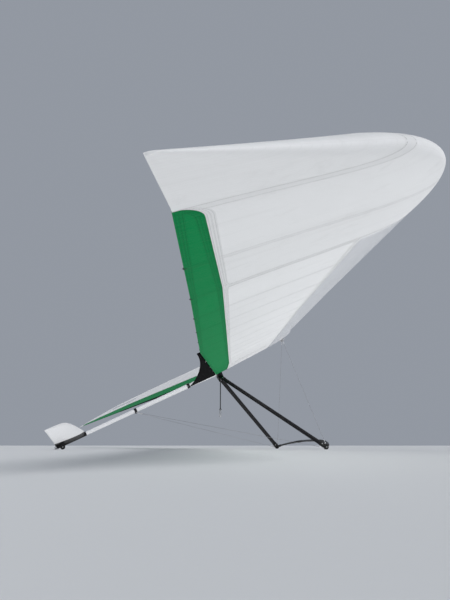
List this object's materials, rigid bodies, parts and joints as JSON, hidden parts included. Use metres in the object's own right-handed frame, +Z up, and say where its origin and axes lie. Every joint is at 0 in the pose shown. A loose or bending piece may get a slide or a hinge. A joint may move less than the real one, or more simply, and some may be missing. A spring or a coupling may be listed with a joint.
{
  "type": "rigid-wing hang glider with tail boom and V tail",
  "caption": "Hang glider with a swept rigid wing, rear flaps, bowed control frame, tail boom and V tail, parked nose-up on its base bar and tail skid.",
  "frame": {"origin": "on the floor, under the middle of the bounding box", "axes": "+X the way the glider flies, +Y to its left wing, +Z up, with the glider parked nose-up on its base bar corners and tail skid"},
  "size_m": [3.8508, 12.48, 1.8565],
  "materials": {
    "white_shell": "smooth light grey-white composite shell",
    "white_sail": "taut light grey-white sailcloth",
    "green_sail": "taut mid-green sailcloth",
    "black_sail": "black flap covering",
    "black_carbon": "black carbon composite, satin lacquer",
    "black_rubber": "black moulded rubber",
    "steel": "stainless steel",
    "webbing": "black woven webbing"
  },
  "bodies": {
    "airframe": {"nose_cone": "white_shell", "leading_edge_left": "white_shell", "leading_edge_right": "white_shell", "wing_panel_left": "white_sail", "wing_panel_right": "white_sail", "rear_band_left": "green_sail", "rear_band_right": "green_sail", "wing_tip_left": "white_sail", "wing_tip_right": "white_sail", "apex_bracket": "black_carbon", "downtube_left": "black_carbon", "downtube_right": "black_carbon", "corner_fitting_left": "black_rubber", "corner_fitting_right": "black_rubber", "base_bar": "black_carbon", "keel_fairing": "white_shell", "boom_collar": "black_carbon", "tail_boom": "white_shell", "tail_saddle": "black_carbon", "tail_fin_left": "white_shell", "tail_fin_right": "white_shell", "tail_skid": "black_rubber", "nose_bracket": "steel", "stay_clamp": "black_carbon", "nose_stay_left": "steel", "nose_stay_right": "steel", "tail_stay_left": "steel", "tail_stay_right": "steel"},
    "left_flap": {"flap_left": "black_sail"},
    "right_flap": {"flap_right": "black_sail"},
    "left_spoileron": {"spoileron_left": "white_shell"},
    "right_spoileron": {"spoileron_right": "white_shell"},
    "hang_loop": {"hang_strap": "webbing", "carabiner": "steel"}
  },
  "joints": [
    {"name": "left_flap_hinge", "type": "hinge", "parent": "airframe", "child": "left_flap", "pos_m": [0.35122, 0.058, 1.05953], "axis": [0.3018, -0.9485, 0.0961], "range_deg": [0, 60]},
    {"name": "right_flap_hinge", "type": "hinge", "parent": "airframe", "child": "right_flap", "pos_m": [0.35122, -0.058, 1.05953], "axis": [-0.3018, -0.9485, -0.0961], "range_deg": [0, 60]},
    {"name": "left_spoileron_hinge", "type": "hinge", "parent": "airframe", "child": "left_spoileron", "pos_m": [-0.31565, 3.55, 1.0562], "axis": [-0.2742, 0.9566, -0.0986], "range_deg": [0, 60]},
    {"name": "right_spoileron_hinge", "type": "hinge", "parent": "airframe", "child": "right_spoileron", "pos_m": [-0.31565, -3.55, 1.0562], "axis": [0.2742, 0.9566, 0.0986], "range_deg": [0, 60]},
    {"name": "hang_loop_swing", "type": "hinge", "parent": "airframe", "child": "hang_loop", "pos_m": [0.4517, 0, 0.98597], "axis": [0, 1, 0], "range_deg": [-40, 40]}
  ],
  "couplings": [
    {"joint": "right_flap_hinge", "follows": "left_flap_hinge", "ratio": 1}
  ]
}
